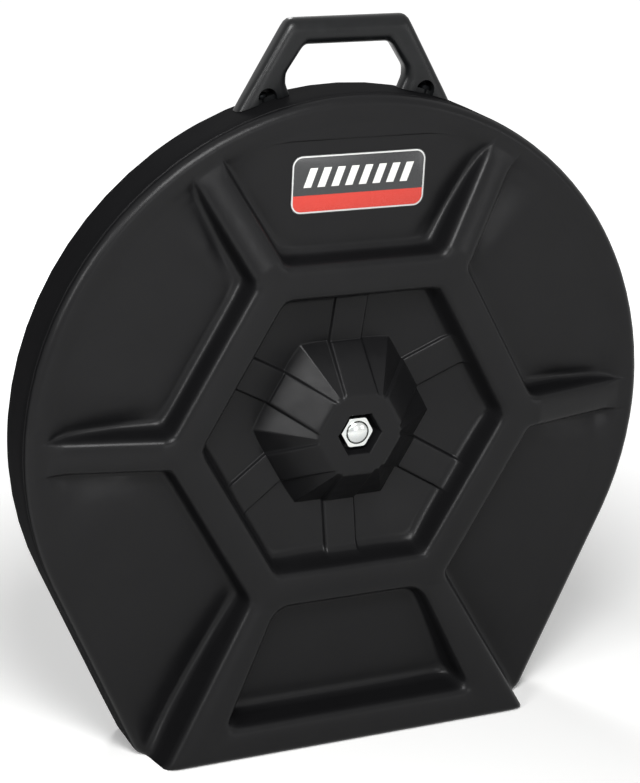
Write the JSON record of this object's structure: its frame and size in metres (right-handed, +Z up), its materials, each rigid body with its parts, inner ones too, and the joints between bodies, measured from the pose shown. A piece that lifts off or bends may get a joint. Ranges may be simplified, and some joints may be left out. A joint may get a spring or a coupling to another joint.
{
  "type": "moulded cymbal case",
  "caption": "Upright hard cymbal case: two moulded shells with a spoked face, a flat foot, a carrying handle and a centre post closed by an acorn nut and a rear hand knob.",
  "frame": {"origin": "on the ground under the middle of the case, at the middle of its depth", "axes": "+Z up along the standing case, -Y out of the spoked face, +X to the right as seen from that face"},
  "size_m": [0.5972, 0.102, 0.657],
  "materials": {
    "black_moulded_shell": "satin, moulded",
    "black_moulded_handle": "satin, moulded",
    "zinc_plated_steel": "bright zinc plate",
    "turned_brass": "turned",
    "grey_felt": "pressed felt",
    "black_nylon": "satin",
    "black_rubber": "matt",
    "printed_label_film": "glossy film"
  },
  "bodies": {
    "front_body": {"front_shell": "black_moulded_shell", "label": "printed_label_film", "acorn_nut": "zinc_plated_steel", "acorn_nut_washer": "zinc_plated_steel", "centre_post": "zinc_plated_steel", "post_seal_washer": "black_rubber", "front_felt": "grey_felt", "cymbal_sleeve": "black_nylon"},
    "rear_cover": {"rear_shell": "black_moulded_shell", "handle": "black_moulded_handle", "handle_screw_left": "zinc_plated_steel", "handle_screw_right": "zinc_plated_steel", "handle_washer_left": "zinc_plated_steel", "handle_washer_right": "zinc_plated_steel", "handle_nut_left": "zinc_plated_steel", "handle_nut_right": "zinc_plated_steel", "knob_washer": "black_nylon"},
    "knob": {"closing_knob": "black_moulded_handle", "knob_insert": "turned_brass", "knob_clip": "zinc_plated_steel"},
    "clamp": {"rear_felt": "grey_felt", "clamp_washer": "zinc_plated_steel"},
    "clamp_nut": {"wing_nut": "zinc_plated_steel"}
  },
  "joints": [
    {"name": "rear_shell_lift", "type": "slide", "parent": "front_body", "child": "rear_cover", "axis": [0, 1, 0], "range_m": [0, 0.12]},
    {"name": "closing_knob_turn", "type": "hinge", "parent": "rear_cover", "child": "knob", "pos_m": [0, 0.033, 0.297], "axis": [0, 1, 0], "continuous": true},
    {"name": "clamp_travel", "type": "slide", "parent": "front_body", "child": "clamp", "axis": [0, 1, 0], "range_m": [0, 0.008]},
    {"name": "wing_nut_turn", "type": "hinge", "parent": "clamp", "child": "clamp_nut", "pos_m": [0, 0.002, 0.297], "axis": [0, 1, 0], "range_deg": [0, 2304]}
  ],
  "couplings": [
    {"joint": "clamp_travel", "follows": "wing_nut_turn", "m_per_rad": 0.00019894}
  ]
}
